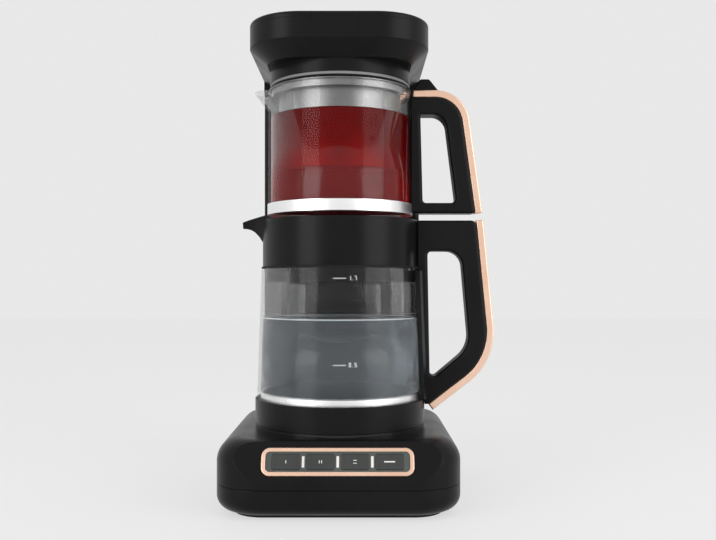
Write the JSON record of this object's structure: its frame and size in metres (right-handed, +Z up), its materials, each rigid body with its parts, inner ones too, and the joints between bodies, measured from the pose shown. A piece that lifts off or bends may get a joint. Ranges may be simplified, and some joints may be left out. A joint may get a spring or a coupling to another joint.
{
  "type": "automatic tea maker",
  "caption": "Automatic tea maker: C-shaped body with sloped key panel, glass kettle with side handle, and glass teapot with infuser under the head.",
  "frame": {"origin": "on the resting plane, on the common axis of the kettle and the teapot", "axes": "+Z up, -Y towards the control panel, +X towards the pot handles"},
  "size_m": [0.2364, 0.219, 0.407],
  "materials": {
    "black_gloss": "gloss",
    "black_satin": "satin",
    "key_black": "gloss",
    "black_glass": "high gloss",
    "rubber_black": "matte",
    "rose_gold": "satin rose gold",
    "light_white": "translucent",
    "board_green": "circuit board",
    "board_parts": "moulded",
    "white_plastic": "moulded",
    "steel": "brushed",
    "screw_steel": "zinc plated",
    "polished_steel": "polished",
    "aluminium": "as cast",
    "brass": "turned",
    "silicone_clear": "milky silicone",
    "silicone_grey": "matte silicone",
    "pot_glass": "clear"
  },
  "bodies": {
    "machine": {"base_tray": "black_satin", "base_housing": "black_gloss", "foot_strip": "rubber_black", "pot_platform": "black_glass", "panel_bezel": "rose_gold", "panel_inlay": "black_glass", "key_lights": "light_white", "key_board": "board_green", "key_switches": "black_satin", "power_board": "board_green", "board_parts": "board_parts", "water_pump": "white_plastic", "pump_motor": "steel", "pump_cradle": "black_satin", "suction_hose": "silicone_clear", "riser_hose": "silicone_clear", "dock_plug": "black_satin", "dock_pins": "brass", "water_nipple": "steel", "cord_gland": "rubber_black", "tower_front": "black_gloss", "tower_back": "black_satin", "head_shell": "black_gloss", "head_cover": "black_gloss", "neck_seal": "silicone_grey", "shower_plate": "steel", "spray_cup": "white_plastic", "base_screws": "screw_steel", "tower_screws": "screw_steel"},
    "kettle": {"kettle_base_ring": "black_gloss", "kettle_floor": "black_satin", "plate_seal": "silicone_clear", "heating_plate": "steel", "heat_spreader": "aluminium", "heating_element": "steel", "thermostat": "white_plastic", "outlet_elbow": "steel", "dock_socket": "black_satin", "kettle_glass": "pot_glass", "collar_gasket": "silicone_clear", "kettle_collar": "black_gloss", "spout_strainer": "steel", "kettle_handle": "black_satin", "kettle_handle_strip": "rose_gold"},
    "teapot": {"teapot_glass": "pot_glass", "teapot_foot_band": "polished_steel", "infuser_basket": "polished_steel", "teapot_handle": "black_satin", "teapot_handle_strip": "rose_gold", "thumb_rest": "black_satin"},
    "key_1": {"key_1": "key_black"},
    "key_2": {"key_2": "key_black"},
    "key_3": {"key_3": "key_black"},
    "key_4": {"key_4": "key_black"}
  },
  "joints": [
    {"name": "key_1_press", "type": "slide", "parent": "machine", "child": "key_1", "axis": [0, 0.9063, -0.4226], "range_m": [0, 0.0012], "stiffness_N_per_m": 400, "springref_m": -0.002},
    {"name": "key_2_press", "type": "slide", "parent": "machine", "child": "key_2", "axis": [0, 0.9063, -0.4226], "range_m": [0, 0.0012], "stiffness_N_per_m": 400, "springref_m": -0.002},
    {"name": "key_3_press", "type": "slide", "parent": "machine", "child": "key_3", "axis": [0, 0.9063, -0.4226], "range_m": [0, 0.0012], "stiffness_N_per_m": 400, "springref_m": -0.002},
    {"name": "key_4_press", "type": "slide", "parent": "machine", "child": "key_4", "axis": [0, 0.9063, -0.4226], "range_m": [0, 0.0012], "stiffness_N_per_m": 400, "springref_m": -0.002},
    {"name": "kettle_draw", "type": "slide", "parent": "machine", "child": "kettle", "axis": [0, -1, 0], "range_m": [0, 0.18]},
    {"name": "teapot_draw", "type": "slide", "parent": "kettle", "child": "teapot", "axis": [0, -1, 0], "range_m": [0, 0.17]}
  ]
}
